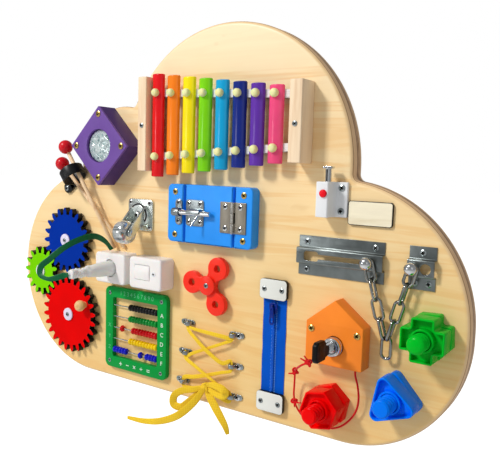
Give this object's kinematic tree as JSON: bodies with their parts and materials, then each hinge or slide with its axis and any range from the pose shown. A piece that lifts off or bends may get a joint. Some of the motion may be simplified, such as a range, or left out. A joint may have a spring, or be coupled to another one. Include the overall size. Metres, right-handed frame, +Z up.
{
  "type": "wooden busy board",
  "caption": "Cloud-shaped wooden busy board with gears, latches, locks, lacing, beads, spinner, xylophone and toy nuts.",
  "frame": {"origin": "the middle of the board's back face: half way between the centres of its two side lobes, 227 mm below its top", "axes": "+X to the right as seen from the front, +Z up, the front faces -Y, back face on y = 0"},
  "size_m": [0.6473, 0.1298, 0.4856],
  "materials": {
    "birch_ply": "satin lacquer",
    "turned_beech": "satin lacquer",
    "pale_pine": "satin lacquer",
    "purple_paint": "satin paint",
    "blue_paint": "satin paint",
    "orange_paint": "satin paint",
    "red_acrylic": "gloss",
    "lime_acrylic": "gloss",
    "blue_acrylic": "gloss",
    "green_acrylic": "gloss",
    "white_plastic": "satin",
    "clear_gel": "clear",
    "black_plastic": "satin",
    "yellow_plastic": "gloss",
    "green_plastic": "gloss",
    "blue_plastic": "gloss",
    "red_plastic": "gloss",
    "zinc_plate": "zinc plated",
    "chromed_steel": "bright",
    "green_ribbon": "woven",
    "red_string": "braided",
    "yellow_lace": "woven",
    "blue_tape": "woven"
  },
  "bodies": {
    "root": {"board": "birch_ply", "light_box": "purple_paint", "gear_axle_red": "white_plastic", "gear_axle_lime": "white_plastic", "gear_axle_blue": "white_plastic", "caster_plate": "zinc_plate", "socket_box": "white_plastic", "switch_box": "white_plastic", "latch_block_left": "blue_paint", "latch_block_right": "blue_paint", "lock_case": "white_plastic", "name_plate": "pale_pine", "chain_track": "zinc_plate", "chain_bracket": "zinc_plate", "zip_tape": "blue_tape", "house_block": "orange_paint", "lock_barrel": "chromed_steel", "key_string": "red_string", "toy_bolt_red": "red_plastic", "toy_bolt_green": "green_plastic", "toy_bolt_blue": "blue_plastic", "spinner_hub": "red_acrylic", "abacus_frame": "green_acrylic", "xylophone": "pale_pine", "mallet_clip": "black_plastic", "lace": "yellow_lace"},
    "light_lens": {"light_lens": "clear_gel"},
    "gear_red": {"gear_red": "red_acrylic", "gear_knob": "turned_beech"},
    "gear_lime": {"gear_lime": "lime_acrylic"},
    "gear_blue": {"gear_blue": "blue_acrylic"},
    "caster_fork": {"caster_fork": "zinc_plate"},
    "caster_wheel": {"caster_wheel": "clear_gel"},
    "switch_rocker": {"switch_rocker": "white_plastic"},
    "plug": {"socket_plug": "white_plastic", "ribbon": "green_ribbon"},
    "door": {"latch_door": "blue_paint", "bolt_guide": "zinc_plate"},
    "bolt_rod": {"bolt_rod": "chromed_steel"},
    "lock_button": {"lock_button": "red_plastic"},
    "lock_plunger": {"lock_plunger": "chromed_steel"},
    "chain_slider": {"chain_slider": "chromed_steel"},
    "chain_left": {"chain_left": "chromed_steel"},
    "chain_right": {"chain_right": "chromed_steel"},
    "zip_slider": {"zip_slider": "blue_plastic"},
    "key": {"key": "black_plastic"},
    "nut_red": {"nut_red": "red_plastic"},
    "nut_green": {"nut_green": "green_plastic"},
    "nut_blue": {"nut_blue": "blue_plastic"},
    "spinner": {"spinner": "red_acrylic"},
    "beads_black": {"beads_black": "black_plastic"},
    "beads_green": {"beads_green": "green_plastic"},
    "bead_red": {"bead_red": "red_plastic"},
    "beads_red": {"beads_red": "red_plastic"},
    "beads_yellow": {"beads_yellow": "yellow_plastic"},
    "beads_blue": {"beads_blue": "blue_plastic"},
    "bead_blue": {"bead_blue": "blue_plastic"},
    "beads_blue_right": {"beads_blue_right": "blue_plastic"},
    "mallet_upper": {"mallet_upper": "red_plastic"},
    "mallet_lower": {"mallet_lower": "red_plastic"}
  },
  "joints": [
    {"name": "light_push", "type": "slide", "parent": "root", "child": "light_lens", "axis": [0, 1, 0], "range_m": [0, 0.002], "stiffness_N_per_m": 1200},
    {"name": "gear_red_turn", "type": "hinge", "parent": "root", "child": "gear_red", "pos_m": [-0.2165, -0.031, -0.1474], "axis": [0, -1, 0], "continuous": true},
    {"name": "gear_lime_turn", "type": "hinge", "parent": "root", "child": "gear_lime", "pos_m": [-0.27589, -0.031, -0.09298], "axis": [0, -1, 0], "continuous": true},
    {"name": "gear_blue_turn", "type": "hinge", "parent": "root", "child": "gear_blue", "pos_m": [-0.22255, -0.031, -0.0441], "axis": [0, -1, 0], "continuous": true},
    {"name": "caster_swivel", "type": "hinge", "parent": "root", "child": "caster_fork", "pos_m": [-0.0902, -0.031, 0], "axis": [0, -1, 0], "continuous": true},
    {"name": "caster_roll", "type": "hinge", "parent": "caster_fork", "child": "caster_wheel", "pos_m": [-0.0902, -0.055, -0.0205], "axis": [1, 0, 0], "continuous": true},
    {"name": "rocker_tilt", "type": "hinge", "parent": "root", "child": "switch_rocker", "pos_m": [-0.0657, -0.046, -0.069], "axis": [1, 0, 0], "range_deg": [-6, 6]},
    {"name": "plug_pull", "type": "slide", "parent": "root", "child": "plug", "axis": [0, -1, 0], "range_m": [0, 0.03]},
    {"name": "door_swing", "type": "hinge", "parent": "root", "child": "door", "pos_m": [0.0631, -0.04205, 0.00715], "axis": [0, 0, 1], "range_deg": [0, 120]},
    {"name": "bolt_shoot", "type": "slide", "parent": "door", "child": "bolt_rod", "axis": [-1, 0, 0], "range_m": [0, 0.016]},
    {"name": "button_push", "type": "slide", "parent": "root", "child": "lock_button", "axis": [0, 1, 0], "range_m": [0, 0.0016], "stiffness_N_per_m": 800},
    {"name": "plunger_push", "type": "slide", "parent": "root", "child": "lock_plunger", "axis": [0, 0, -1], "range_m": [0, 0.013]},
    {"name": "chain_slide", "type": "slide", "parent": "root", "child": "chain_slider", "axis": [1, 0, 0], "range_m": [-0.018, 0]},
    {"name": "chain_left_swing", "type": "hinge", "parent": "chain_slider", "child": "chain_left", "pos_m": [0.2245, -0.0339, -0.0266], "axis": [0, -1, 0], "range_deg": [-0.5, 8]},
    {"name": "chain_right_swing", "type": "hinge", "parent": "root", "child": "chain_right", "pos_m": [0.2703, -0.0339, -0.0266], "axis": [0, -1, 0], "range_deg": [-8, 0.5]},
    {"name": "zip_pull", "type": "slide", "parent": "root", "child": "zip_slider", "axis": [0, 0, -1], "range_m": [0, 0.085]},
    {"name": "key_turn", "type": "hinge", "parent": "root", "child": "key", "pos_m": [0.1965, -0.065, -0.1143], "axis": [0, -1, 0], "range_deg": [0, 90]},
    {"name": "nut_red_off", "type": "slide", "parent": "root", "child": "nut_red", "axis": [0, -1, 0], "range_m": [0, 0.036]},
    {"name": "nut_green_off", "type": "slide", "parent": "root", "child": "nut_green", "axis": [0, -1, 0], "range_m": [0, 0.036]},
    {"name": "nut_blue_off", "type": "slide", "parent": "root", "child": "nut_blue", "axis": [0, -1, 0], "range_m": [0, 0.036]},
    {"name": "spinner_turn", "type": "hinge", "parent": "root", "child": "spinner", "pos_m": [0.0259, -0.0315, -0.075], "axis": [0, -1, 0], "continuous": true},
    {"name": "beads_black_slide", "type": "slide", "parent": "root", "child": "beads_black", "axis": [-1, 0, 0], "range_m": [0, 0.027]},
    {"name": "beads_green_slide", "type": "slide", "parent": "root", "child": "beads_green", "axis": [-1, 0, 0], "range_m": [0, 0.027]},
    {"name": "bead_red_slide", "type": "slide", "parent": "root", "child": "bead_red", "axis": [-1, 0, 0], "range_m": [0, 0.012]},
    {"name": "beads_red_slide", "type": "slide", "parent": "root", "child": "beads_red", "axis": [-1, 0, 0], "range_m": [0, 0.014]},
    {"name": "beads_yellow_slide", "type": "slide", "parent": "root", "child": "beads_yellow", "axis": [-1, 0, 0], "range_m": [0, 0.027]},
    {"name": "beads_blue_slide", "type": "slide", "parent": "root", "child": "beads_blue", "axis": [1, 0, 0], "range_m": [0, 0.01]},
    {"name": "bead_blue_slide", "type": "slide", "parent": "root", "child": "bead_blue", "axis": [-1, 0, 0], "range_m": [0, 0.01]},
    {"name": "beads_blue_right_slide", "type": "slide", "parent": "root", "child": "beads_blue_right", "axis": [-1, 0, 0], "range_m": [0, 0.006]},
    {"name": "mallet_upper_out", "type": "slide", "parent": "root", "child": "mallet_upper", "axis": [-0.5053, -0.1044, 0.8566], "range_m": [0, 0.12]},
    {"name": "mallet_lower_out", "type": "slide", "parent": "root", "child": "mallet_lower", "axis": [-0.7186, -0.0619, 0.6927], "range_m": [0, 0.12]}
  ],
  "couplings": [
    {"joint": "gear_lime_turn", "follows": "gear_red_turn", "ratio": -1.6},
    {"joint": "gear_blue_turn", "follows": "gear_red_turn", "ratio": 1.2},
    {"joint": "chain_left_swing", "follows": "chain_slide", "rad_per_m": -6.894},
    {"joint": "chain_right_swing", "follows": "chain_slide", "rad_per_m": 6.894}
  ]
}
